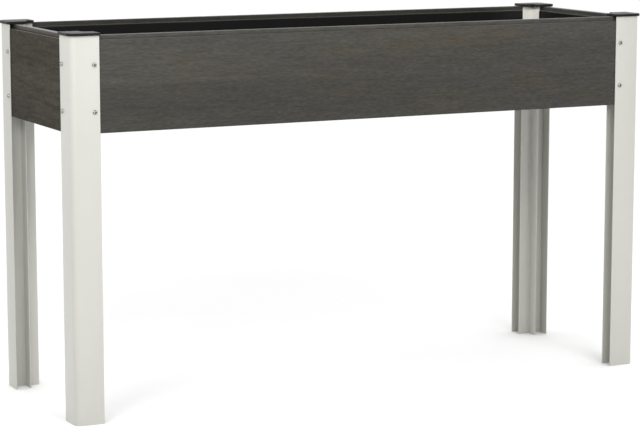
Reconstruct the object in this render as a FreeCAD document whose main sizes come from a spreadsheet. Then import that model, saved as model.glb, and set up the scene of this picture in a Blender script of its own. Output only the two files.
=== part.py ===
import FreeCAD, Part
import os
from collections import namedtuple
from types import SimpleNamespace

import Sketcher

# Raised garden bed: hollow composite boards slide into the channels of four aluminium corner posts.
# Millimetres, +Z up, origin on the ground at the centre of the four posts. X runs along the bed and
# the front is -Y.

# Driving sizes. Every other size and place is worked out from these.
SIZES = {
    # The frame, over the outer faces of the posts and up to their cut top ends.
    "bed_length": 1200,
    "bed_width": 386,
    "post_height": 706,
    # Corner post extrusion: a square tube whose walls run on as the flanges of two board channels.
    "post_arm": 55,
    "post_wall": 1.6,
    "post_corner_radius": 12,
    # How the boards sit in the channels.
    "slot_clearance": 0.4,
    "end_clearance": 1,
    # Board section.
    "board_thickness": 26,
    "board_height": 167,
    "board_bevel": 0.6,
    "board_skin": 5.5,
    "board_rib": 5,
    "tongue_width": 12,
    "tongue_height": 8,
    "tongue_bevel": 1,
    "groove_depth": 9,
    "groove_clearance": 0.5,
    # Post cap.
    "cap_thickness": 5,
    "cap_overhang": 4,
    "cap_end_overhang": 2,
    "cap_inner_overhang": 6,
    "cap_notch_radius": 10,
    "cap_side_bevel": 3,
    "cap_edge_bevel": 0.8,
    "spigot_depth": 18,
    "spigot_wall": 2,
    "spigot_clearance": 0.2,
    "spigot_lead_in": 1,
    # Post screw.
    "screw_shank": 4,
    "screw_length": 16,
    "screw_head": 8.5,
    "screw_head_height": 2.6,
    "hole_clearance": 0.2,
    "pilot_clearance": 0.05,
    "pilot_spare": 0.6,
    # Where the post screws go through the flanges.
    "post_screw_inset": 10,
    "post_screw_low": 38.5,
    "post_screw_below_ledge": 44,
    # Floor ledger: an angle along the inside of each long board.
    "ledger_shelf": 25,
    "ledger_upstand": 15,
    "ledger_wall": 2,
    "ledger_root_radius": 1.5,
    "ledger_rise": 3,
    "ledger_end_gap": 3,
    # Floor slats across the ledgers.
    "slat_width": 134,
    "slat_thickness": 14,
    "slat_bevel": 1.5,
    "slat_drain_gap": 6,
    "slat_end_gap": 4,
    # Planting liner.
    "liner_wall": 1.5,
    "liner_clearance": 0.3,
    "liner_drop": 1,
}

# Hollow chambers in a board, one above the other.
CHAMBERS = 3

# The sides in order round the bed. Each side has a frame of its own: origin on the ground at the outer
# corner of the post it starts from, X along the side and Y into the bed. It shares that corner's post.
SIDES = ("front", "right", "rear", "left")
CORNERS = ("front_left", "front_right", "rear_right", "rear_left")
QUARTER_TURN = 90
UP = FreeCAD.Vector(0, 0, 1)
UPRIGHT = FreeCAD.Rotation()
# A screw is drawn with its shank along +Z, and tilted to point into the bed.
INTO_BED = FreeCAD.Rotation(FreeCAD.Vector(1, 0, 0), -QUARTER_TURN)
# Coordinates that differ by less than this are equal.
CLOSE = 1e-6

# A corner of an outline. It is sharp, or rounded by a radius, or cut off by a bevel.
Corner = namedtuple("Corner", "x y radius bevel", defaults=(None, None))


class Size:
    """A length that carries its number and the sheet expression that gives it."""

    def __init__(self, number, text):
        self.number = number
        self.text = text

    def __add__(self, other):
        other = as_size(other)
        return Size(self.number + other.number, f"({self.text} + {other.text})")

    def __sub__(self, other):
        other = as_size(other)
        return Size(self.number - other.number, f"({self.text} - {other.text})")

    def __mul__(self, factor):
        return Size(self.number * factor, f"({self.text} * {factor})")

    def __truediv__(self, factor):
        return Size(self.number / factor, f"({self.text} / {factor})")

    def __neg__(self):
        return self * -1


def as_size(value):
    """A plain number as a Size, and a Size as it is."""
    return value if isinstance(value, Size) else Size(value, str(value))


def bind(item, path, size):
    """Tie one property of an item to the sheet."""
    item.setExpression(path, as_size(size).text)


def make_sheet(doc):
    """Write the driving sizes into the sheet and return them as Size values."""
    sheet = doc.addObject("Spreadsheet::Sheet", "Sizes")
    for row, (name, number) in enumerate(SIZES.items(), start=1):
        sheet.set(f"A{row}", name)
        sheet.set(f"B{row}", str(number))
        sheet.setAlias(f"B{row}", name)
    doc.recompute()
    return SimpleNamespace(**{name: Size(number, f"Sizes.{name}") for name, number in SIZES.items()})


def work_out(s):
    """Add the sizes and levels that several pieces share."""
    # The channel is as wide as a board and its clearance, so the tube's side follows the board.
    s.post_box = s.board_thickness + s.slot_clearance * 2 + s.post_wall * 2
    s.board_face = s.post_wall + s.slot_clearance
    s.board_back = s.board_face + s.board_thickness
    s.board_start = s.post_box + s.end_clearance
    # The tongues end level with the posts, under the caps.
    s.ledge = s.post_height - s.tongue_height
    s.board_bottom = s.ledge - s.board_height
    s.screw_levels = (s.board_bottom + s.post_screw_low, s.ledge - s.post_screw_below_ledge)
    s.screw_along = s.post_arm - s.post_screw_inset
    # Floor levels, from the ledger's underside up to the top of the slats.
    s.ledger_bottom = s.board_bottom + s.ledger_rise
    s.ledger_top = s.ledger_bottom + s.ledger_wall
    s.slat_top = s.ledger_top + s.slat_thickness
    s.ledger_face = s.board_back + s.ledger_wall
    s.ledger_start = s.post_arm + s.ledger_end_gap
    s.ledger_length = s.bed_length - s.ledger_start * 2
    s.hole_diameter = s.screw_shank + s.hole_clearance * 2
    s.pilot_diameter = s.screw_shank + s.pilot_clearance * 2
    return s


def side_length(s, side):
    return s.bed_width if side % 2 else s.bed_length


def slat_places(s):
    """Distances along the bed of the slats' left edges: as many as fit, with equal drainage gaps."""
    clear = s.bed_length - s.post_box * 2
    pitch = s.slat_width.number + s.slat_drain_gap.number
    count = int((clear.number - s.slat_drain_gap.number) // pitch)
    gap = (clear - s.slat_width * count) / (count + 1)
    return [s.post_box + gap + (s.slat_width + gap) * step for step in range(count)]


def turned(x, y, quarters):
    """The point (x, y) turned about the origin by quarter turns."""
    for _ in range(quarters):
        x, y = -y, x
    return x, y


def place(item, s, side, x=0, y=0, z=0, tilt=UPRIGHT):
    """Put an item at a point of a side's frame and turn it with that side."""
    half_length = s.bed_length / 2
    half_width = s.bed_width / 2
    corner_x = half_length if side in (1, 2) else -half_length
    corner_y = half_width if side in (2, 3) else -half_width
    along, across = turned(x, y, side)
    target = [corner_x + along, corner_y + across, as_size(z)]
    base = FreeCAD.Vector(*(size.number for size in target))
    item.Placement = FreeCAD.Placement(base, FreeCAD.Rotation(UP, QUARTER_TURN * side).multiply(tilt))
    for axis, size in zip("xyz", target):
        bind(item, f"Placement.Base.{axis}", size)


def new_sketch(body, plane, x=0, y=0, height=0):
    """A sketch on one of the body's origin planes, moved by x, y and height in the plane's own axes."""
    sketch = body.newObject("Sketcher::SketchObject", f"{body.Label}_sketch")
    support = next(item for item in body.Origin.OriginFeatures if item.Role == plane)
    sketch.AttachmentSupport = [(support, "")]
    sketch.MapMode = "FlatFace"
    for axis, size in zip("xyz", (x, y, height)):
        bind(sketch, f"AttachmentOffset.Base.{axis}", size)
    return sketch


def dimension(sketch, kind, geometry, point, size):
    """Fix one coordinate of a point, measured from the sketch's origin."""
    if not isinstance(size, Size):
        axis = -2 if kind == "DistanceX" else -1
        sketch.addConstraint(Sketcher.Constraint("PointOnObject", geometry, point, axis))
        return
    index = sketch.addConstraint(Sketcher.Constraint(kind, -1, 1, geometry, point, size.number))
    bind(sketch, f"Constraints[{index}]", size)


def moved(start, towards, distance):
    """A coordinate moved a distance towards another one, or kept where the two are equal."""
    gap = as_size(towards).number - as_size(start).number
    if abs(gap) < CLOSE:
        return start
    return as_size(start) + (distance if gap > 0 else -distance)


def without_bevels(corners):
    """The same corners, with each bevelled one replaced by the two ends of its bevel."""
    plain = []
    for i, corner in enumerate(corners):
        if corner.bevel is None:
            plain.append(corner)
            continue
        for other in (corners[i - 1], corners[i + 1 - len(corners)]):
            x = moved(corner.x, other.x, corner.bevel)
            y = moved(corner.y, other.y, corner.bevel)
            plain.append(Corner(x, y))
    return plain


def rounded(before, corner, after, radius):
    """The arc that rounds a corner, where it meets the two lines, and which of its ends comes first."""
    towards_before = (before - corner).normalize()
    towards_after = (after - corner).normalize()
    enter = corner + towards_before * radius
    leave = corner + towards_after * radius
    centre = enter + towards_after * radius
    left_turn = towards_after.cross(towards_before).z > 0
    low, high = (enter, leave) if left_turn else (leave, enter)
    circle = Part.Circle(centre, UP, radius)
    curve = Part.ArcOfCircle(circle, circle.parameter(low), circle.parameter(high))
    return SimpleNamespace(curve=curve, enter=enter, leave=leave, first_end=1 if left_turn else 2)


def draw_outline(sketch, corners):
    """Close a ring of lines through the corners. A coordinate of 0 lies on the sketch's axis."""
    corners = without_bevels(corners)
    count = len(corners)
    points = [FreeCAD.Vector(as_size(c.x).number, as_size(c.y).number, 0) for c in corners]
    starts = list(points)
    ends = points[1:] + points[:1]
    level = [abs(start.y - end.y) < CLOSE for start, end in zip(starts, ends)]
    upright = [abs(start.x - end.x) < CLOSE for start, end in zip(starts, ends)]
    arcs = {}
    for i, corner in enumerate(corners):
        if corner.radius is not None:
            arcs[i] = rounded(points[i - 1], points[i], points[i + 1 - count], corner.radius.number)
            ends[i - 1] = arcs[i].enter
            starts[i] = arcs[i].leave
    first = sketch.GeometryCount
    for start, end in zip(starts, ends):
        sketch.addGeometry(Part.LineSegment(start, end), False)
    for i, corner in enumerate(corners):
        before = first + (i - 1) % count
        after = first + i
        if i in arcs:
            arc = sketch.addGeometry(arcs[i].curve, False)
            sketch.addConstraint(Sketcher.Constraint("Tangent", before, 2, arc, arcs[i].first_end))
            sketch.addConstraint(Sketcher.Constraint("Tangent", arc, 3 - arcs[i].first_end, after, 1))
            index = sketch.addConstraint(Sketcher.Constraint("Radius", arc, corner.radius.number))
            bind(sketch, f"Constraints[{index}]", corner.radius)
        else:
            sketch.addConstraint(Sketcher.Constraint("Coincident", before, 2, after, 1))
        if level[i]:
            sketch.addConstraint(Sketcher.Constraint("Horizontal", after))
        if upright[i]:
            sketch.addConstraint(Sketcher.Constraint("Vertical", after))
        if level[i] or not level[i - 1]:
            dimension(sketch, "DistanceY", after, 1, corner.y)
        if upright[i] or not upright[i - 1]:
            dimension(sketch, "DistanceX", after, 1, corner.x)


def draw_rectangle(sketch, x_range, y_range):
    """A rectangle between two distances in x and two in y."""
    (left, right), (near, far) = x_range, y_range
    draw_outline(sketch, [Corner(left, near), Corner(right, near), Corner(right, far), Corner(left, far)])


def draw_circle(sketch, x, y, diameter):
    """A circle with its centre and diameter fixed."""
    centre = FreeCAD.Vector(x.number, y.number, 0)
    circle = sketch.addGeometry(Part.Circle(centre, UP, diameter.number / 2), False)
    index = sketch.addConstraint(Sketcher.Constraint("Diameter", circle, diameter.number))
    bind(sketch, f"Constraints[{index}]", diameter)
    dimension(sketch, "DistanceX", circle, 3, x)
    dimension(sketch, "DistanceY", circle, 3, y)


def pad(body, sketch, length, backwards=False):
    """Extrude a sketch along its normal, or against it."""
    feature = body.newObject("PartDesign::Pad", f"{body.Label}_pad")
    feature.Profile = sketch
    feature.Reversed = backwards
    bind(feature, "Length", length)
    body.Document.recompute()
    return feature


def pocket(body, sketch, depth, backwards=False):
    """Cut a sketch into the body against its normal, or along it, and make sure that it cuts."""
    volume = body.Shape.Volume
    feature = body.newObject("PartDesign::Pocket", f"{body.Label}_pocket")
    feature.Profile = sketch
    feature.Reversed = backwards
    bind(feature, "Length", depth)
    body.Document.recompute()
    if not body.Shape.Volume < volume:
        raise RuntimeError(f"{feature.Label} cuts nothing")
    return feature


def chamfer(body, base, edges, size):
    """Bevel some edges of the body's last feature."""
    feature = body.newObject("PartDesign::Chamfer", f"{body.Label}_chamfer")
    feature.Base = (base, edges)
    bind(feature, "Size", size)
    body.Document.recompute()


def edges_at(shape, height):
    """Names of the edges that lie wholly at one height."""
    names = []
    for number, edge in enumerate(shape.Edges, start=1):
        box = edge.BoundBox
        if abs(box.ZMin - height) < CLOSE and abs(box.ZMax - height) < CLOSE:
            names.append(f"Edge{number}")
    return names


def make_post(doc, s, side):
    """A corner post: the tube at the corner, and a board channel along each of its two sides."""
    body = doc.addObject("PartDesign::Body", f"post_{CORNERS[side]}")
    arm, box, wall = s.post_arm, s.post_box, s.post_wall
    inside = box - wall
    profile = new_sketch(body, "XY_Plane")
    draw_outline(profile, [
        Corner(0, 0, radius=s.post_corner_radius),
        Corner(arm, 0), Corner(arm, wall), Corner(box, wall),
        Corner(box, inside), Corner(arm, inside), Corner(arm, box),
        Corner(box, box),
        Corner(box, arm), Corner(inside, arm), Corner(inside, box),
        Corner(wall, box), Corner(wall, arm), Corner(0, arm),
    ])
    draw_outline(profile, [
        Corner(wall, wall, radius=s.post_corner_radius - wall),
        Corner(inside, wall), Corner(inside, inside), Corner(wall, inside),
    ])
    pad(body, profile, s.post_height)
    for plane, backwards in (("XZ_Plane", False), ("YZ_Plane", True)):
        holes = new_sketch(body, plane)
        for level in s.screw_levels:
            draw_circle(holes, s.screw_along, level, s.hole_diameter)
        pocket(body, holes, wall, backwards)
    place(body, s, side)
    return body


def make_cap(doc, s, side):
    """A post cap: an L-shaped cover plate over the post's end, with a hollow spigot in its tube."""
    body = doc.addObject("PartDesign::Body", f"cap_{CORNERS[side]}")
    reach = s.cap_overhang + s.post_arm + s.cap_end_overhang
    depth = s.cap_overhang + s.post_box + s.cap_inner_overhang
    bevel = s.cap_side_bevel
    plate = new_sketch(body, "XY_Plane", -s.cap_overhang, -s.cap_overhang, s.post_height)
    draw_outline(plate, [
        Corner(0, 0, radius=s.post_corner_radius + s.cap_overhang), Corner(reach, 0, bevel=bevel),
        Corner(reach, depth, bevel=bevel), Corner(depth, depth, radius=s.cap_notch_radius),
        Corner(depth, reach, bevel=bevel), Corner(0, reach, bevel=bevel),
    ])
    plate_pad = pad(body, plate, s.cap_thickness)
    top = (s.post_height + s.cap_thickness).number
    chamfer(body, plate_pad, edges_at(plate_pad.Shape, top), s.cap_edge_bevel)

    low = s.post_wall + s.spigot_clearance
    high = s.post_box - low
    bore_low = low + s.spigot_wall
    bore_high = high - s.spigot_wall
    outer_radius = s.post_corner_radius - low
    spigot = new_sketch(body, "XY_Plane", height=s.post_height)
    draw_outline(spigot, [
        Corner(low, low, radius=outer_radius), Corner(high, low), Corner(high, high), Corner(low, high),
    ])
    draw_outline(spigot, [
        Corner(bore_low, bore_low, radius=outer_radius - s.spigot_wall),
        Corner(bore_high, bore_low), Corner(bore_high, bore_high), Corner(bore_low, bore_high),
    ])
    spigot_pad = pad(body, spigot, s.spigot_depth, backwards=True)
    bottom = (s.post_height - s.spigot_depth).number
    rim = [name for name in edges_at(spigot_pad.Shape, bottom)
           if on_outside(spigot_pad.Shape.getElement(name), low.number, high.number)]
    chamfer(body, spigot_pad, rim, s.spigot_lead_in)
    place(body, s, side)
    return body


def on_outside(edge, low, high):
    """True for an edge of a square ring from low to high that reaches the ring's outside."""
    box = edge.BoundBox
    return min(box.XMin, box.YMin) < low + CLOSE or max(box.XMax, box.YMax) > high - CLOSE


def make_board(doc, s, side):
    """A side board: a hollow plank, tongue up and groove down, held by its ends in two posts."""
    body = doc.addObject("PartDesign::Body", f"board_{SIDES[side]}")
    face, back, bottom, ledge, top = s.board_face, s.board_back, s.board_bottom, s.ledge, s.post_height
    edge = s.board_bevel
    shoulder = (s.board_thickness - s.tongue_width) / 2
    tongue_face = face + shoulder
    tongue_back = back - shoulder
    groove_face = tongue_face - s.groove_clearance
    groove_back = tongue_back + s.groove_clearance
    groove_top = bottom + s.groove_depth
    section = new_sketch(body, "YZ_Plane", height=s.board_start)
    draw_outline(section, [
        Corner(face, bottom, bevel=edge), Corner(groove_face, bottom), Corner(groove_face, groove_top),
        Corner(groove_back, groove_top), Corner(groove_back, bottom), Corner(back, bottom, bevel=edge),
        Corner(back, ledge, bevel=edge), Corner(tongue_back, ledge),
        Corner(tongue_back, top, bevel=s.tongue_bevel), Corner(tongue_face, top, bevel=s.tongue_bevel),
        Corner(tongue_face, ledge), Corner(face, ledge, bevel=edge),
    ])
    inner_height = s.board_height - s.groove_depth - s.board_skin * 2
    chamber_height = (inner_height - s.board_rib * (CHAMBERS - 1)) / CHAMBERS
    chamber_face = face + s.board_skin
    chamber_back = back - s.board_skin
    for level in range(CHAMBERS):
        low = groove_top + s.board_skin + (chamber_height + s.board_rib) * level
        draw_rectangle(section, (chamber_face, chamber_back), (low, low + chamber_height))
    pad(body, section, side_length(s, side) - s.board_start * 2)
    pilots = new_sketch(body, "XZ_Plane", height=-face)
    for along in (s.screw_along, side_length(s, side) - s.screw_along):
        for level in s.screw_levels:
            draw_circle(pilots, along, level, s.pilot_diameter)
    pocket(body, pilots, s.screw_length - face + s.pilot_spare)
    place(body, s, side)
    return body


def make_ledger(doc, s, side):
    """A floor ledger: an angle against a long board's inner face, with its shelf at the bottom."""
    body = doc.addObject("PartDesign::Body", f"ledger_{SIDES[side]}")
    back, face, bottom, shelf = s.board_back, s.ledger_face, s.ledger_bottom, s.ledger_top
    nose = back + s.ledger_shelf
    top = bottom + s.ledger_upstand
    section = new_sketch(body, "YZ_Plane", height=s.ledger_start)
    draw_outline(section, [
        Corner(back, bottom), Corner(nose, bottom), Corner(nose, shelf),
        Corner(face, shelf, radius=s.ledger_root_radius), Corner(face, top), Corner(back, top),
    ])
    pad(body, section, s.ledger_length)
    place(body, s, side)
    return body


def make_slat(doc, s, number, left):
    """A floor slat laid across the two ledgers."""
    body = doc.addObject("PartDesign::Body", f"floor_slat_{number}")
    right = left + s.slat_width
    start = s.ledger_face + s.slat_end_gap
    section = new_sketch(body, "XZ_Plane", height=-start)
    draw_outline(section, [
        Corner(x, z, bevel=s.slat_bevel)
        for x, z in ((left, s.ledger_top), (right, s.ledger_top), (right, s.slat_top), (left, s.slat_top))
    ])
    pad(body, section, s.bed_width - start * 2, backwards=True)
    place(body, s, SIDES.index("front"))
    return body


def liner_floor(s, flap, clear, end):
    """Corners of the liner's floor, which runs out under its flaps and steps back round the posts."""
    steps = [(flap, end), (clear, end), (clear, clear), (end, clear), (end, flap)]
    back = steps[::-1]
    length, width = s.bed_length, s.bed_width
    corners = [Corner(x, y) for x, y in steps]
    corners += [Corner(length - x, y) for x, y in back]
    corners += [Corner(length - x, width - y) for x, y in steps]
    corners += [Corner(x, width - y) for x, y in back]
    return corners


def make_liner(doc, s):
    """The planting liner: a sheet on the slats, with a flap folded up each board between the posts."""
    body = doc.addObject("PartDesign::Body", "liner")
    length, width, wall, gap = s.bed_length, s.bed_width, s.liner_wall, s.liner_clearance
    flap = s.board_back + gap
    inner = flap + wall
    end = s.post_arm + gap
    level = s.slat_top + gap
    floor = new_sketch(body, "XY_Plane", height=level)
    draw_outline(floor, liner_floor(s, flap, s.post_box + gap, end))
    pad(body, floor, wall)
    flaps = new_sketch(body, "XY_Plane", height=level)
    for y_range in ((flap, inner), (width - inner, width - flap)):
        draw_rectangle(flaps, (end, length - end), y_range)
    for x_range in ((flap, inner), (length - inner, length - flap)):
        draw_rectangle(flaps, x_range, (end, width - end))
    pad(body, flaps, s.ledge - s.liner_drop - level)
    place(body, s, SIDES.index("front"))
    return body


def make_screw(doc, s):
    """A plain round-headed screw, drawn with its head below the origin and its shank along +Z."""
    body = doc.addObject("PartDesign::Body", "screw_pattern")
    head = s.screw_head / 2
    shank = s.screw_shank / 2
    top = -s.screw_head_height
    profile = new_sketch(body, "XZ_Plane")
    draw_outline(profile, [
        Corner(0, top), Corner(head, top), Corner(head, 0), Corner(shank, 0),
        Corner(shank, s.screw_length), Corner(0, s.screw_length),
    ])
    turning = body.newObject("PartDesign::Revolution", "screw_turning")
    turning.Profile = profile
    turning.ReferenceAxis = (profile, ["V_Axis"])
    doc.recompute()
    return body


def make_post_screws(doc, s):
    """The screws through the posts' outer flanges into the boards, one node of separate solids."""
    pattern = make_screw(doc, s)
    links = []
    for side in range(len(SIDES)):
        for along in (s.screw_along, side_length(s, side) - s.screw_along):
            for level in s.screw_levels:
                link = doc.addObject("App::Link", "screw")
                link.LinkedObject = pattern
                place(link, s, side, x=along, z=level, tilt=INTO_BED)
                links.append(link)
    group = doc.addObject("Part::Compound", "post_screws")
    group.Links = links
    return group


def check(doc, nodes):
    """Stop if any object failed or any sub-part is empty or faulty."""
    for item in doc.Objects:
        if "Invalid" in item.State or "Error" in item.State:
            raise RuntimeError(f"{item.Label} failed: {item.State}")
        if item.TypeId == "Sketcher::SketchObject" and not item.FullyConstrained:
            raise RuntimeError(f"{item.Label} is not fully constrained")
    for node in nodes:
        if node.Shape.isNull() or not node.Shape.isValid() or not node.Shape.Solids:
            raise RuntimeError(f"{node.Label} has no sound solid")


def main():
    doc = FreeCAD.newDocument("garden_bed")
    s = work_out(make_sheet(doc))
    nodes = []
    for side in range(len(SIDES)):
        nodes.append(make_post(doc, s, side))
        nodes.append(make_cap(doc, s, side))
        nodes.append(make_board(doc, s, side))
    for side in (SIDES.index("front"), SIDES.index("rear")):
        nodes.append(make_ledger(doc, s, side))
    for number, left in enumerate(slat_places(s), start=1):
        nodes.append(make_slat(doc, s, number, left))
    nodes.append(make_liner(doc, s))
    nodes.append(make_post_screws(doc, s))
    doc.recompute()
    check(doc, nodes)
    os.makedirs("parts", exist_ok=True)
    for node in nodes:
        node.Shape.exportStep(f"parts/{node.Label}.step")
    print(f"{len(nodes)} nodes, {sum(len(node.Shape.Solids) for node in nodes)} solids")


main()
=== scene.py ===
import math

import bmesh
import bpy
from mathutils import Matrix, Vector


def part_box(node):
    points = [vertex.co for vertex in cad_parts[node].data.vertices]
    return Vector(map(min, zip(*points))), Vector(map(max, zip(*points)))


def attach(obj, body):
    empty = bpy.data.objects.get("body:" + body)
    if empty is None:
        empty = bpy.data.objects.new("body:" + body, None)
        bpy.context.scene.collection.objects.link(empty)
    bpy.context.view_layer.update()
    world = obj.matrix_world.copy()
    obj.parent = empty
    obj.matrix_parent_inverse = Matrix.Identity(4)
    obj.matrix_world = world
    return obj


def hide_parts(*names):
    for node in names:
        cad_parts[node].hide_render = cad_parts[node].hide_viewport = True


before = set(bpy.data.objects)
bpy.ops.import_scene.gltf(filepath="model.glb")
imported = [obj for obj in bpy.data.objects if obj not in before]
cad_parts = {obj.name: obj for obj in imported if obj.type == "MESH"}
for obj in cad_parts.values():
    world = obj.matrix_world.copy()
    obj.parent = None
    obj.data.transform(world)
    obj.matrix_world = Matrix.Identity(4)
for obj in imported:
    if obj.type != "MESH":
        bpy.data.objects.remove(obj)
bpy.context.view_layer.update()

# Looks of the raised garden bed. Metres, +Z up, the front is -Y, and every mesh is made in place.
CORNERS = ("front_left", "front_right", "rear_right", "rear_left")
SIDES = ("front", "right", "rear", "left")
SLATS = 8
MM = 0.001

# Boxes and levels of the CAD's pieces, read from model.glb.
POST_LOW, POST_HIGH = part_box("post_front_left")
CAP_LOW, CAP_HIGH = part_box("cap_front_left")
LEDGER_LOW, LEDGER_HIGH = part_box("ledger_front")
LINER_LOW, LINER_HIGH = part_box("liner")
HALF_LENGTH = -POST_LOW.x
HALF_WIDTH = -POST_LOW.y
POST_TOP = POST_HIGH.z
BOARD_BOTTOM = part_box("board_front")[0].z

# Fineness of the new meshes: steps round a corner, and from how many degrees on an edge is sharp.
LARGE_RADIUS = 3 * MM
LARGE_STEPS = 12
SMALL_STEPS = 3
SHARP_ANGLE = 35

# Corner post section, as the CAD has it, with the small radii of a real extrusion.
POST_ARM = POST_HIGH.x - POST_LOW.x
POST_WALL = 1.6 * MM
POST_BOX = 30 * MM
POST_CORNER_RADIUS = 12 * MM
POST_TIP_RADIUS = 0.55 * MM
POST_ROOT_RADIUS = 1.2 * MM

# Board section: a tongue with a ledge on each side. The lower half's shade fades in over a short height.
TONGUE_HEIGHT = 8 * MM
LEDGE = POST_TOP - TONGUE_HEIGHT
BOARD_MIDDLE = (BOARD_BOTTOM + POST_TOP) / 2
SHADE_FADE = 14 * MM

# Post cap: a plate that overhangs the post, with a spigot in the post's tube.
CAP_OVERHANG = 4 * MM
CAP_END_OVERHANG = 2 * MM
CAP_INNER_OVERHANG = 6 * MM
CAP_CORNER_RADIUS = POST_CORNER_RADIUS + CAP_OVERHANG
CAP_NOTCH_RADIUS = 10 * MM
CAP_TIP_RADIUS = 4 * MM
CAP_LOWER_EDGE = 0.4 * MM
CAP_ROUNDING = 0.9 * MM
CAP_ROUNDING_STEPS = 4
SPIGOT_CLEARANCE = 0.2 * MM
SPIGOT_WALL = 2 * MM

# Screws with pan heads and cross recesses. The ledgers' screws show no more than their heads.
SCREW_INSET = 10 * MM
SCREW_ABOVE_BOTTOM = 38.5 * MM
SCREW_BELOW_LEDGE = 44 * MM
SCREW_SIDES = 40
SCREW_HEAD_RADIUS = 4.25 * MM
SCREW_SEAT_RADIUS = 0.97 * SCREW_HEAD_RADIUS
SCREW_HEAD_HEIGHT = 2.6 * MM
SCREW_HEAD_EDGE = 0.35 * MM
SCREW_DOME_STEPS = 6
SCREW_SHANK_RADIUS = 2 * MM
SCREW_LENGTH = 16 * MM
SCREW_POINT_RADIUS = 0.3 * SCREW_SHANK_RADIUS
SCREW_POINT_LENGTH = 3 * MM
RECESS_ARM = 2.5 * MM
RECESS_HALF_SLOT = 0.85 * MM
RECESS_DEPTH = 2.4 * MM
RECESS_TAPER = 0.6
RECESS_RIM = 0.25 * MM
LEDGER_WALL = 2 * MM
LEDGER_SCREWS = 5
LEDGER_SCREW_PITCH = 240 * MM
LEDGER_SCREW_RISE = 1 * MM
LEDGER_SCREW_SCALE = 0.75
LEDGER_SCREW_SUNK = 0.05 * MM

# Liner: a sheet on the slats with a flap folded up each board, between the ends of the posts' flanges.
# Pairs are half sizes along X and Y: where the folds start, where the floor ends beside the posts, and the
# flaps' lengths.
LINER_GAP = 0.3 * MM
LINER_THICKNESS = 0.8 * MM
LINER_STEP = 12 * MM
LINER_SHARP_ANGLE = 60
LINER_FOLD_RADIUS = 8 * MM
LINER_FOLD_LENGTH = LINER_FOLD_RADIUS * math.pi / 2
LINER_FOLD_STEPS = 6
LINER_RISE = LINER_HIGH.z - LINER_LOW.z - LINER_FOLD_RADIUS
LINER_FLAT = (LINER_HIGH.x - LINER_FOLD_RADIUS, LINER_HIGH.y - LINER_FOLD_RADIUS)
LINER_REACH = (HALF_LENGTH - POST_BOX - LINER_GAP, HALF_WIDTH - POST_BOX - LINER_GAP)
LINER_FLAP = (HALF_LENGTH - POST_ARM - LINER_GAP, HALF_WIDTH - POST_ARM - LINER_GAP)
LINER_RIDGE = 1.1 * MM
LINER_RIDGE_EASE = 40 * MM
LINER_BULGE = 2.2 * MM
LINER_DROOP = 1.2 * MM
LINER_MERGE = 0.01 * MM
# The waves of a ripple: height, radians per metre, and how far the seed shifts it.
LINER_WAVES = ((1.0, 19, 1.0), (0.7, 43, 2.1), (0.4, 71, 1.0))

# Studio: how far the floor reaches, how bright the room is on average, and how much more so towards +X, +Y
# and +Z.
FLOOR_REACH = 40
ROOM_LEVEL = 1.1
ROOM_LEAN = (0.12, 0.4, 0.06)

# Camera, from a fit to the photograph's post corners that has no lens shift and keeps the whole bed in the
# picture. Angles are in degrees, and the lens is in millimetres.
CAMERA_PLACE = (-2.0119, -4.0512, 1.0208)
CAMERA_TURN = -26.255
CAMERA_TILT = 8.857
CAMERA_LENS = 130.46


class Graph:
    """A material's nodes, with short calls that add a node and link what goes into it."""

    def __init__(self, name):
        self.material = bpy.data.materials.new(name)
        self.material.use_nodes = True
        self.tree = self.material.node_tree
        self.tree.nodes.clear()
        self.shader = self.add("BsdfPrincipled")
        self.output = self.add("OutputMaterial", {"Surface": self.shader.outputs["BSDF"]})
        self.place = self.add("TexCoord").outputs["Object"]

    def add(self, kind, inputs=None, **settings):
        node = self.tree.nodes.new("ShaderNode" + kind)
        for name, value in settings.items():
            setattr(node, name, value)
        self.feed(node, inputs or {})
        return node

    def feed(self, node, inputs):
        """Link or set a node's sockets, given by name or number."""
        for key, value in inputs.items():
            if isinstance(value, bpy.types.NodeSocket):
                self.tree.links.new(value, node.inputs[key])
            else:
                node.inputs[key].default_value = value

    def finish(self, **inputs):
        """Feed the shader: keywords are its socket names with underscores for spaces."""
        self.feed(self.shader, {name.replace("_", " "): value for name, value in inputs.items()})
        return self.material

    def stretch(self, vector, *scale):
        return self.add("VectorMath", {0: vector, 1: scale}, operation="MULTIPLY").outputs[0]

    def noise(self, vector, scale=1.0, detail=2.0, roughness=0.5, distortion=0.0):
        """Noise from 0 to 1. The scale, and a stretch before it, count its lumps per metre."""
        sockets = {"Vector": vector, "Scale": scale, "Detail": detail, "Roughness": roughness,
                   "Distortion": distortion}
        return self.add("TexNoise", sockets).outputs["Fac"]

    def math(self, operation, first, second=0.0):
        return self.add("Math", {0: first, 1: second}, operation=operation).outputs[0]

    def span(self, value, low, high, to_low=0.0, to_high=1.0):
        """Carry a range of values over to another range, and stop at its ends."""
        sockets = {"Value": value, "From Min": low, "From Max": high, "To Min": to_low, "To Max": to_high}
        return self.add("MapRange", sockets).outputs["Result"]

    def blend(self, factor, first, second):
        """A plain number between two others."""
        return self.add("Mix", {0: factor, 2: first, 3: second}).outputs[0]

    def mix(self, factor, first, second, blend="MIX"):
        """A colour from two others."""
        node = self.add("Mix", data_type="RGBA", blend_type=blend)
        self.feed(node, {0: factor, 6: first, 7: second})
        return node.outputs[2]

    def bump(self, height, strength, distance, under=None):
        """A normal for fine relief, on top of another such normal where one is given."""
        sockets = {"Height": height, "Strength": strength, "Distance": distance}
        if under is not None:
            sockets["Normal"] = under
        return self.add("Bump", sockets).outputs["Normal"]


def colour(red, green, blue):
    return (red, green, blue, 1.0)


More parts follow.
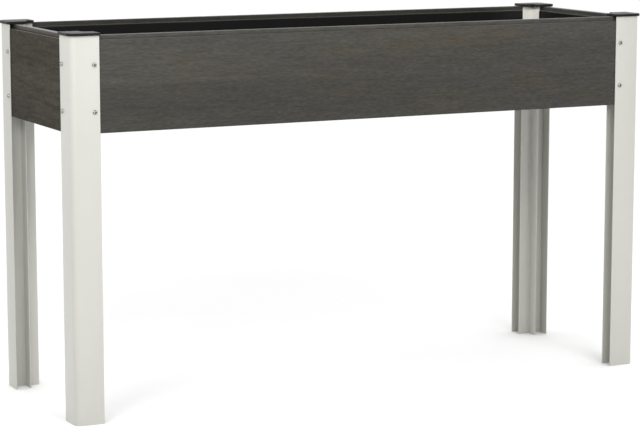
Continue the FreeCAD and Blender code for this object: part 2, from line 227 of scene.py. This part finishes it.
def powder_coat():
    """Off-white powder coating: a fine orange peel, and faint lines left by the extrusion die."""
    g = Graph("powder_coat")
    cloud = g.noise(g.stretch(g.place, 9, 9, 3), detail=3)
    peel = g.noise(g.place, 1100, detail=2)
    lines = g.noise(g.stretch(g.place, 700, 700, 2), detail=1)
    tint = g.mix(g.span(cloud, 0.3, 0.7), colour(0.421, 0.4175, 0.382), colour(0.4365, 0.434, 0.4005))
    shallow = g.bump(lines, 0.05, 0.2 * MM)
    return g.finish(Base_Color=tint, Roughness=g.span(peel, 0.3, 0.7, 0.27, 0.35), IOR=1.5,
                    Normal=g.bump(peel, 0.12, 0.15 * MM, shallow))


def black_plastic():
    """Moulded black plastic with a fine spark-eroded grain."""
    g = Graph("black_plastic")
    grain = g.noise(g.place, 1600, detail=3)
    cloud = g.noise(g.place, 40, detail=2)
    tint = g.mix(g.span(cloud, 0.3, 0.7), colour(0.006, 0.006, 0.0058), colour(0.01, 0.01, 0.0095))
    return g.finish(Base_Color=tint, Roughness=g.span(grain, 0.3, 0.7, 0.4, 0.52), IOR=1.5,
                    Specular_IOR_Level=0.12, Normal=g.bump(grain, 0.25, 0.12 * MM))


def composite(name, along, dark, light, brown, contrast, inner_painted_light, inner_painted_tint, lower_shade, top_rough):
    """Brushed wood-plastic composite with its grain along X or Y.

    Tongues are smoother, and the upper faces of tongues and ledges shine more. The faces towards the planting
    get painted light and a painted tint: a factor under one paints shade on them, over one paints light. The
    board's lower half is darker by a factor of its own.
    """
    g = Graph(name)
    place = g.add("SeparateXYZ", {0: g.place}).outputs
    normal = g.add("SeparateXYZ", {0: g.add("NewGeometry").outputs["Normal"]}).outputs
    run, across, up = (0, 1, 2) if along == "X" else (1, 0, 2)
    grain = g.add("CombineXYZ", {0: place[run], 1: place[across], 2: place[up]}).outputs[0]
    band = g.noise(g.stretch(grain, 0.9, 17, 17), detail=1.5)
    warmth = g.noise(g.stretch(grain, 4, 20, 20), detail=3, distortion=0.3)
    streak = g.noise(g.stretch(grain, 15, 130, 130), detail=4, roughness=0.65)
    brush = g.noise(g.stretch(grain, 80, 340, 340), detail=3)
    fleck = g.noise(g.stretch(grain, 90, 700, 700), detail=2)

    # Masks from 0 to 1: faces towards the planting, the tongue, and the upper faces of ledge and tongue.
    outward = g.math("MULTIPLY", place[across], normal[across])
    inside = g.span(outward, -0.1, -0.05, 1.0, 0.0)
    tongue = g.span(place[up], LEDGE + 0.5 * MM, LEDGE + 1.5 * MM)
    level = g.span(place[up], LEDGE - 1 * MM, LEDGE - 0.2 * MM)
    top = g.math("MULTIPLY", level, g.span(normal[up], 0.5, 0.9))

    # The shade multiplies the colour: streaks, brush marks, the inner faces' painted light and the lower
    # half.
    shade = g.math("MULTIPLY", g.span(streak, 0.25, 0.75, 1 - contrast, 1 + contrast),
                   g.span(brush, 0.25, 0.75, 0.8, 1.2))
    # Painted light on the faces towards the planting: a factor under one is painted shade, over one painted
    # light.
    shade = g.math("MULTIPLY", shade, g.blend(inside, 1.0, inner_painted_light))
    lower = g.span(place[up], BOARD_MIDDLE - SHADE_FADE, BOARD_MIDDLE, lower_shade, 1.0)
    shade = g.math("MULTIPLY", shade, lower)
    grey = g.add("CombineColor", {0: shade, 1: shade, 2: shade}).outputs[0]

    # The colour: broad bands, brown patches, the shade, the inner faces' painted tint and pale flecks.
    tint = g.mix(g.span(band, 0.3, 0.7), colour(*dark), colour(*light))
    tint = g.mix(g.span(warmth, 0.5, 0.75, 0.0, 0.75), tint, colour(*brown))
    tint = g.mix(1.0, tint, grey, "MULTIPLY")
    # Painted tint on the faces towards the planting, with their painted light.
    tint = g.mix(inside, tint, colour(*inner_painted_tint), "MULTIPLY")
    tint = g.mix(g.span(fleck, 0.68, 0.78, 0.0, 0.3), tint, colour(0.12, 0.113, 0.10))

    # The finish: less rough and less deeply brushed on the tongue.
    smoother = g.span(tongue, 0.0, 1.0, 1.0, 0.7)
    side_rough = g.math("MULTIPLY", g.span(streak, 0.3, 0.7, 0.56, 0.66), smoother)
    depth = g.span(tongue, 0.0, 1.0, 1.0, 0.4)
    ribs = g.bump(streak, g.math("MULTIPLY", depth, 0.3), 0.6 * MM)
    relief = g.bump(brush, g.math("MULTIPLY", depth, 0.35), 0.25 * MM, ribs)
    gloss = g.math("MULTIPLY", shade, g.span(tongue, 0.0, 1.0, 0.06, 0.18))
    return g.finish(Base_Color=tint, Roughness=g.blend(top, side_rough, top_rough), IOR=1.48,
                    Specular_IOR_Level=g.blend(top, gloss, 0.5), Normal=relief)


def mill_aluminium():
    """Extruded aluminium as it comes from the mill, with fine lines along the bed."""
    g = Graph("mill_aluminium")
    lines = g.noise(g.stretch(g.place, 4, 900, 900), detail=2)
    tint = g.mix(g.span(lines, 0.3, 0.7), colour(0.60, 0.60, 0.60), colour(0.72, 0.72, 0.72))
    return g.finish(Base_Color=tint, Metallic=1.0, Roughness=g.span(lines, 0.3, 0.7, 0.28, 0.45),
                    Normal=g.bump(lines, 0.1, 0.2 * MM))


def bright_steel():
    """Stainless screws with a faint unevenness."""
    g = Graph("bright_steel")
    marks = g.noise(g.place, 900, detail=3)
    tint = g.mix(g.span(marks, 0.3, 0.7), colour(0.30, 0.30, 0.29), colour(0.38, 0.38, 0.365))
    return g.finish(Base_Color=tint, Metallic=1.0, Roughness=g.span(marks, 0.3, 0.7, 0.16, 0.28),
                    Normal=g.bump(marks, 0.05, 0.1 * MM))


def black_fleece():
    """Black non-woven liner fabric: matted fibres with a fine embossed dot grid."""
    g = Graph("black_fleece")
    fibres = g.noise(g.place, 900, detail=4, roughness=0.7)
    dots = g.add("TexVoronoi", {"Vector": g.place, "Scale": 420.0, "Randomness": 0.15}).outputs["Distance"]
    tint = g.mix(g.span(fibres, 0.3, 0.7), colour(0.006, 0.006, 0.0058), colour(0.012, 0.012, 0.0115))
    relief = g.bump(dots, 0.4, 0.3 * MM, g.bump(fibres, 0.3, 0.2 * MM))
    return g.finish(Base_Color=tint, Roughness=0.85, Specular_IOR_Level=0.08, Normal=relief)


def pale_floor():
    """A pale studio floor. From below it lets the view through."""
    g = Graph("pale_floor")
    cloud = g.noise(g.place, 1.5, detail=2)
    tint = g.mix(g.span(cloud, 0.3, 0.7), colour(0.87, 0.87, 0.87), colour(0.89, 0.89, 0.89))
    g.finish(Base_Color=tint, Roughness=0.9, Specular_IOR_Level=0.1)
    behind = g.add("NewGeometry").outputs["Backfacing"]
    clear = g.add("BsdfTransparent").outputs[0]
    both = g.add("MixShader", {0: behind, 1: g.shader.outputs["BSDF"], 2: clear})
    g.feed(g.output, {"Surface": both.outputs[0]})
    return g.material


def corner_place(number):
    """The frame of a side: origin at its first post's outer corner, X along the side, Y into the bed."""
    signs = ((-1, -1), (1, -1), (1, 1), (-1, 1))[number]
    spot = Matrix.Translation((signs[0] * HALF_LENGTH, signs[1] * HALF_WIDTH, 0))
    return spot @ Matrix.Rotation(math.radians(90 * number), 4, "Z")


def outline(corners):
    """Points round an outline of right angles. Each corner is x, y and a radius."""
    points = []
    for i, (x, y, radius) in enumerate(corners):
        corner = Vector((x, y))
        before = (Vector(corners[i - 1][:2]) - corner).normalized()
        after = (Vector(corners[(i + 1) % len(corners)][:2]) - corner).normalized()
        centre = corner + (before + after) * radius
        count = LARGE_STEPS if radius > LARGE_RADIUS else SMALL_STEPS
        for step in range(count + 1):
            angle = math.radians(90 * step / count)
            points.append(centre - (after * math.cos(angle) + before * math.sin(angle)) * radius)
    return points


def tube_outline(inset):
    """The outline of a post's tube, drawn in on all sides: one large round corner and three small ones."""
    low, high = inset, POST_BOX - inset
    small = POST_ROOT_RADIUS
    return outline([
        (low, low, POST_CORNER_RADIUS - inset), (high, low, small), (high, high, small), (low, high, small),
    ])


def ring(bm, points, height):
    """New vertices at an outline's points, all at one height."""
    return [bm.verts.new((p.x, p.y, height)) for p in points]


def walls(bm, lower, upper):
    """Join two rings of as many points by a band of quads."""
    count = len(lower)
    for i in range(count):
        j = (i + 1) % count
        bm.faces.new((lower[i], lower[j], upper[j], upper[i]))


def close(bm, *rings):
    """Fill the flat area inside the first ring and outside the others."""
    edges = []
    for points in rings:
        for i, point in enumerate(points):
            edges.append(bm.edges.get((point, points[(i + 1) % len(points)])))
    bmesh.ops.triangle_fill(bm, use_beauty=True, edges=edges)


def hollow(bm, outer, bore, bottom, top):
    """A closed upright body between two levels, with a bore through it."""
    low = [ring(bm, points, bottom) for points in (outer, bore)]
    high = [ring(bm, points, top) for points in (outer, bore)]
    for lower, upper in zip(low, high):
        walls(bm, lower, upper)
    close(bm, *low)
    close(bm, *high)


def turned(bm, place, profile):
    """Rings of points round the place's Z axis, one for each radius and height, with bands between."""
    spokes = [math.tau * step / SCREW_SIDES for step in range(SCREW_SIDES)]
    rings = []
    for radius, height in profile:
        points = [Vector((radius * math.cos(angle), radius * math.sin(angle), height)) for angle in spokes]
        rings.append([bm.verts.new(place @ point) for point in points])
    for lower, upper in zip(rings, rings[1:]):
        walls(bm, lower, upper)
    return rings


def make_mesh(name, bm, sharp=SHARP_ANGLE):
    """A smooth-shaded mesh whose edges stay sharp past an angle in degrees."""
    bmesh.ops.recalc_face_normals(bm, faces=bm.faces)
    mesh = bpy.data.meshes.new(name)
    bm.to_mesh(mesh)
    bm.free()
    mesh.polygons.foreach_set("use_smooth", [True] * len(mesh.polygons))
    mesh.set_sharp_from_angle(angle=math.radians(sharp))
    return mesh


def add_piece(name, mesh, material, slot, *stands_for):
    """Put a new piece into the scene, in place of the CAD nodes that are named last."""
    piece = bpy.data.objects.new(name, mesh)
    bpy.context.scene.collection.objects.link(piece)
    mesh.materials.append(material)
    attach(piece, "root")
    if stands_for:
        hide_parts(*stands_for)
    return piece


def make_post(number, material):
    """A corner post: the tube at the corner, and a board channel along each of its two sides."""
    arm, box, wall = POST_ARM, POST_BOX, POST_WALL
    inside = box - wall
    tip, root = POST_TIP_RADIUS, POST_ROOT_RADIUS
    outer = outline([
        (0, 0, POST_CORNER_RADIUS),
        (arm, 0, tip), (arm, wall, tip), (box, wall, root),
        (box, inside, root), (arm, inside, tip), (arm, box, tip),
        (box, box, root),
        (box, arm, tip), (inside, arm, tip), (inside, box, root),
        (wall, box, root), (wall, arm, tip), (0, arm, tip),
    ])
    bm = bmesh.new()
    hollow(bm, outer, tube_outline(wall), POST_LOW.z, POST_TOP)
    bm.transform(corner_place(number))
    node = f"post_{CORNERS[number]}"
    add_piece(f"{node}_coated", make_mesh(node, bm), material, "post_coating", node)


def make_cap(number, material):
    """A post cap: an L-shaped plate with rounded edges, and its hollow spigot in the tube."""
    low = -CAP_OVERHANG
    reach = POST_ARM + CAP_END_OVERHANG
    depth = POST_BOX + CAP_INNER_OVERHANG
    tip = CAP_TIP_RADIUS
    bm = bmesh.new()

    def plate(inset, height):
        """The plate's outline, drawn in on all sides."""
        points = outline([
            (low + inset, low + inset, CAP_CORNER_RADIUS - inset),
            (reach - inset, low + inset, tip - inset), (reach - inset, depth - inset, tip - inset),
            (depth - inset, depth - inset, CAP_NOTCH_RADIUS + inset),
            (depth - inset, reach - inset, tip - inset), (low + inset, reach - inset, tip - inset),
        ])
        return ring(bm, points, height)

    rings = [plate(CAP_LOWER_EDGE, POST_TOP), plate(0, POST_TOP + CAP_LOWER_EDGE)]
    for step in range(CAP_ROUNDING_STEPS + 1):
        angle = math.radians(90 * step / CAP_ROUNDING_STEPS)
        inset = CAP_ROUNDING * (1 - math.cos(angle))
        rings.append(plate(inset, CAP_HIGH.z - CAP_ROUNDING * (1 - math.sin(angle))))
    for lower, upper in zip(rings, rings[1:]):
        walls(bm, lower, upper)
    close(bm, rings[0])
    close(bm, rings[-1])

    inset = POST_WALL + SPIGOT_CLEARANCE
    hollow(bm, tube_outline(inset), tube_outline(inset + SPIGOT_WALL), CAP_LOW.z, POST_TOP)
    bm.transform(corner_place(number))
    node = f"cap_{CORNERS[number]}"
    add_piece(f"{node}_moulded", make_mesh(node, bm), material, "cap_plastic", node)


def draw_head(bm, place):
    """A pan head below the place's origin, with a cross recess. Returns the rim of its underside."""
    edge = SCREW_HEAD_EDGE
    flat = RECESS_ARM + RECESS_RIM
    profile = [(SCREW_SEAT_RADIUS, 0), (SCREW_HEAD_RADIUS, -edge)]
    for step in range(1, SCREW_DOME_STEPS + 1):
        angle = math.radians(90 * step / SCREW_DOME_STEPS)
        profile.append((flat + (SCREW_HEAD_RADIUS - flat) * math.cos(angle),
                        -edge - (SCREW_HEAD_HEIGHT - edge) * math.sin(angle)))
    rings = turned(bm, place, profile)

    arm, slot = RECESS_ARM, RECESS_HALF_SLOT
    quarter = [Vector((arm, -slot)), Vector((arm, slot)), Vector((slot, slot))]
    cross = []
    for turn in range(4):
        cross += [Matrix.Rotation(math.radians(90 * turn), 2) @ point for point in quarter]
    lip, foot = [], []
    for x, y in cross:
        lip.append(bm.verts.new(place @ Vector((x, y, -SCREW_HEAD_HEIGHT))))
        low = Vector((x * RECESS_TAPER, y * RECESS_TAPER, RECESS_DEPTH - SCREW_HEAD_HEIGHT))
        foot.append(bm.verts.new(place @ low))
    walls(bm, lip, foot)
    close(bm, rings[-1], lip)
    close(bm, foot)
    return rings[0]


def make_post_screws(material):
    """The screws through the posts' outer flanges: heads outside, shanks in the boards."""
    bm = bmesh.new()
    shank = [(SCREW_POINT_RADIUS, SCREW_LENGTH), (SCREW_SHANK_RADIUS, SCREW_LENGTH - SCREW_POINT_LENGTH),
             (SCREW_SHANK_RADIUS, 0)]
    inward = Matrix.Rotation(math.radians(-90), 4, "X")
    for number in range(len(SIDES)):
        side = (HALF_WIDTH if number % 2 else HALF_LENGTH) * 2
        for along in (POST_ARM - SCREW_INSET, side - POST_ARM + SCREW_INSET):
            for level in (BOARD_BOTTOM + SCREW_ABOVE_BOTTOM, LEDGE - SCREW_BELOW_LEDGE):
                spot = Matrix.Translation((along, 0, level)) @ inward
                place = corner_place(number) @ spot
                rings = turned(bm, place, shank)
                close(bm, rings[0])
                walls(bm, rings[-1], draw_head(bm, place))
    mesh = make_mesh("post_screws", bm)
    add_piece("post_screws_turned", mesh, material, "screw_steel", "post_screws")


def make_ledger_screws(material):
    """Low heads on the ledgers' upstands, in the gap beside the slats."""
    bm = bmesh.new()
    level = (LEDGER_LOW.z + LEDGER_HIGH.z) / 2 + LEDGER_SCREW_RISE
    face = LEDGER_LOW.y + LEDGER_WALL
    head = Matrix.Rotation(math.radians(90), 4, "X") @ Matrix.Scale(LEDGER_SCREW_SCALE, 4)
    for turn in (0, 180):
        for step in range(LEDGER_SCREWS):
            along = (step - (LEDGER_SCREWS - 1) / 2) * LEDGER_SCREW_PITCH
            spot = Matrix.Translation((along, face - LEDGER_SCREW_SUNK, level))
            place = Matrix.Rotation(math.radians(turn), 4, "Z") @ spot @ head
            close(bm, draw_head(bm, place))
    add_piece("ledger_screws", make_mesh("ledger_screws", bm), material, "screw_steel")


def steps_between(low, high, step):
    """Evenly spaced numbers from low to high, no further apart than a step."""
    count = max(1, math.ceil((high - low) / step))
    return [low + (high - low) * i / count for i in range(count + 1)]


def ripple(along, seed):
    """A slow, uneven wave from 0 to 1 along a strip of cloth."""
    wave = sum(height * math.sin(along * pace + shift * seed) for height, pace, shift in LINER_WAVES)
    return 0.5 + wave / (2 * sum(height for height, pace, shift in LINER_WAVES))


def liner_floor(x, y):
    """A point of the liner's floor, which lies flat along its edges.

    Inside it has a few soft ridges, and the numbers in the sines only set their pattern.
    """
    ridge = math.sin(x * 23 + 1.7 * math.sin(y * 17)) * math.sin(y * 29 + 1.3 * math.sin(x * 11))
    edge = min(LINER_FLAT[0] - abs(x), LINER_FLAT[1] - abs(y)) / LINER_RIDGE_EASE
    ease = min(1.0, max(0.0, edge))
    return (x, y, LINER_LOW.z + LINER_RIDGE * max(0.0, ridge) ** 2 * ease)


def liner_flap(axis, sign, along, up):
    """A point of a flap: round the fold first, then up along the board with soft ripples.

    The flap runs along an axis, on one side of the bed. Up is measured along the cloth from the flat floor.
    Each flap has ripples of its own, which grow towards its upper edge.
    """
    seed = 1.3 + 2.4 * axis + sign
    radius = LINER_FOLD_RADIUS
    if up < LINER_FOLD_LENGTH:
        out = radius * math.sin(up / radius)
        height = radius * (1 - math.cos(up / radius))
    else:
        share = (up - LINER_FOLD_LENGTH) / LINER_RISE
        droop = LINER_DROOP * ripple(along, seed + 3) * share
        out = radius - LINER_BULGE * ripple(along, seed) * share * (1.6 - 0.6 * share)
        height = radius + (up - LINER_FOLD_LENGTH) - droop
    across = sign * (LINER_FLAT[1 - axis] + out)
    level = LINER_LOW.z + height
    return (along, across, level) if axis == 0 else (across, along, level)


def make_liner(material):
    """The liner: its floor in patches that leave room for the flaps' folds, and the four flaps."""
    bm = bmesh.new()

    def grid(points):
        """Faces between rows of points. Points at the same place share a vertex once they are merged."""
        rows = [[bm.verts.new(point) for point in row] for row in points]
        for low, high in zip(rows, rows[1:]):
            for i in range(len(low) - 1):
                bm.faces.new((low[i], low[i + 1], high[i + 1], high[i]))

    spans = []
    for reach, flat, flap in zip(LINER_REACH, LINER_FLAT, LINER_FLAP):
        stops = (-reach, -flat, -flap, flap, flat, reach)
        spans.append([steps_between(low, high, LINER_STEP) for low, high in zip(stops, stops[1:])])
    # Five spans each way: the strip past where the folds start, the corner, the flap's length, and back.
    outer, middle = (0, 4), 2
    for i, columns in enumerate(spans[0]):
        for j, rows in enumerate(spans[1]):
            over_flap = (j in outer and i == middle) or (i in outer and j == middle)
            if not over_flap:
                grid([[liner_floor(x, y) for x in columns] for y in rows])

    fold = steps_between(0, LINER_FOLD_LENGTH, LINER_FOLD_LENGTH / LINER_FOLD_STEPS)
    board = steps_between(LINER_FOLD_LENGTH, LINER_FOLD_LENGTH + LINER_RISE, LINER_STEP)
    for axis in (0, 1):
        for sign in (-1, 1):
            lengths = spans[axis][middle]
            grid([[liner_flap(axis, sign, along, up) for along in lengths] for up in fold[:-1] + board])
    bmesh.ops.remove_doubles(bm, verts=bm.verts, dist=LINER_MERGE)
    bmesh.ops.recalc_face_normals(bm, faces=bm.faces)
    bmesh.ops.solidify(bm, geom=list(bm.faces), thickness=LINER_THICKNESS)
    mesh = make_mesh("liner", bm, sharp=LINER_SHARP_ANGLE)
    piece = add_piece("liner_folded", mesh, material, "liner_fabric", "liner")

    cut = [2 * (flat + LINER_FOLD_LENGTH + LINER_RISE) for flat in LINER_FLAT]
    area = 4 * LINER_REACH[0] * LINER_REACH[1]
    for axis in (0, 1):
        area += 4 * LINER_FLAP[axis] * (cut[1 - axis] / 2 - LINER_REACH[1 - axis])


def dress(node, material):
    """Give a CAD node a finished material in place of its plain one."""
    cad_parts[node].material_slots[0].material = material


def make_stage():
    """A floor whose edges lie outside the photograph's view."""
    reach = FLOOR_REACH
    corners = [(-reach, -reach, 0), (reach, -reach, 0), (reach, reach, 0), (-reach, reach, 0)]
    mesh = bpy.data.meshes.new("floor")
    mesh.from_pydata(corners, [], [(0, 1, 2, 3)])
    mesh.materials.append(pale_floor())
    floor = bpy.data.objects.new("floor", mesh)
    bpy.context.scene.collection.objects.link(floor)


def add_light(name, place, aim, size, watts, spread=180):
    """A rectangular lamp that stands at one place and aims at another.

    The spread is its beam's angle in degrees.
    """
    light = bpy.data.lights.new(name, "AREA")
    light.shape = "RECTANGLE"
    light.size, light.size_y = size
    light.energy = watts
    light.spread = math.radians(spread)
    lamp = bpy.data.objects.new(name, light)
    lamp.location = place
    lamp.rotation_euler = (Vector(aim) - Vector(place)).to_track_quat("-Z", "Y").to_euler()
    bpy.context.scene.collection.objects.link(lamp)


def make_lights():
    """A white room, brightest behind the bed, four lamps in front and a small one for the trough's inside."""
    world = bpy.data.worlds.new("studio")
    world.use_nodes = True
    nodes, links = world.node_tree.nodes, world.node_tree.links
    lean = nodes.new("ShaderNodeVectorMath")
    lean.operation = "DOT_PRODUCT"
    links.new(nodes.new("ShaderNodeTexCoord").outputs["Generated"], lean.inputs[0])
    lean.inputs[1].default_value = ROOM_LEAN
    level = nodes.new("ShaderNodeMath")
    links.new(lean.outputs["Value"], level.inputs[0])
    level.inputs[1].default_value = ROOM_LEVEL
    sky = nodes["Background"]
    sky.inputs["Color"].default_value = colour(1.0, 1.0, 1.0)
    links.new(level.outputs[0], sky.inputs["Strength"])
    bpy.context.scene.world = world
    add_light("front_lamp", place=(0.2, -2.6, 2.2), aim=(0.1, -0.1, 0.5), size=(1.5, 1.0), watts=39.5)
    add_light("corner_lamp", place=(-1.08, -0.65, 1.12), aim=(-0.62, -0.15, 0.65), size=(0.35, 0.35),
              watts=4.9)
    add_light("right_lamp", place=(1.3, -3.0, 0.9), aim=(0.5, 0.1, 0.3), size=(1.0, 1.0), watts=8.0)
    add_light("strip_lamp", place=(-0.95, -0.85, 0.34), aim=(-0.6, -0.19, 0.34), size=(0.16, 0.64),
              watts=0.5)
    add_light("trough_lamp", place=(0.1, -0.16, 1.1), aim=(0.556, 0.16, 0.685), size=(0.04, 0.04),
              watts=0.034, spread=12)
    bpy.context.scene.view_settings.view_transform = "Standard"


def make_camera():
    """The photograph's camera."""
    lens = bpy.data.cameras.new("camera")
    lens.lens = CAMERA_LENS
    camera = bpy.data.objects.new("camera", lens)
    camera.location = CAMERA_PLACE
    camera.rotation_euler = (math.radians(90 - CAMERA_TILT), 0, math.radians(CAMERA_TURN))
    bpy.context.scene.collection.objects.link(camera)
    bpy.context.scene.camera = camera


coat = powder_coat()
plastic = black_plastic()
steel = bright_steel()
for number in range(len(CORNERS)):
    make_post(number, coat)
    make_cap(number, plastic)
make_post_screws(steel)
make_ledger_screws(steel)
make_liner(black_fleece())

# The short boards are darker and browner than the long ones: painted shade on their outer faces. Their faces
# towards the planting are lifted by painted light and a painted tint; the long boards' get painted shade.
# The slats are like the short ones.
lengthwise = composite(
    "composite_lengthwise", along="X",
    dark=(0.0445, 0.0433, 0.0379), light=(0.0548, 0.0534, 0.0477), brown=(0.0598, 0.0512, 0.0384),
    contrast=0.17, inner_painted_light=0.66, inner_painted_tint=(1.0, 1.0, 1.0), lower_shade=0.86, top_rough=0.58,
)
crosswise_painted_shade = composite(
    "composite_crosswise", along="Y",
    dark=(0.0248, 0.0216, 0.0156), light=(0.0376, 0.0336, 0.0244), brown=(0.0408, 0.032, 0.0216),
    contrast=0.45, inner_painted_light=1.5, inner_painted_tint=(0.8, 0.9, 1.12), lower_shade=1.0, top_rough=0.4,
)
for side in SIDES:
    dress(f"board_{side}", lengthwise if side in ("front", "rear") else crosswise_painted_shade)
for number in range(1, SLATS + 1):
    dress(f"floor_slat_{number}", crosswise_painted_shade)
bare = mill_aluminium()
for side in ("front", "rear"):
    dress(f"ledger_{side}", bare)

make_stage()
make_lights()
make_camera()
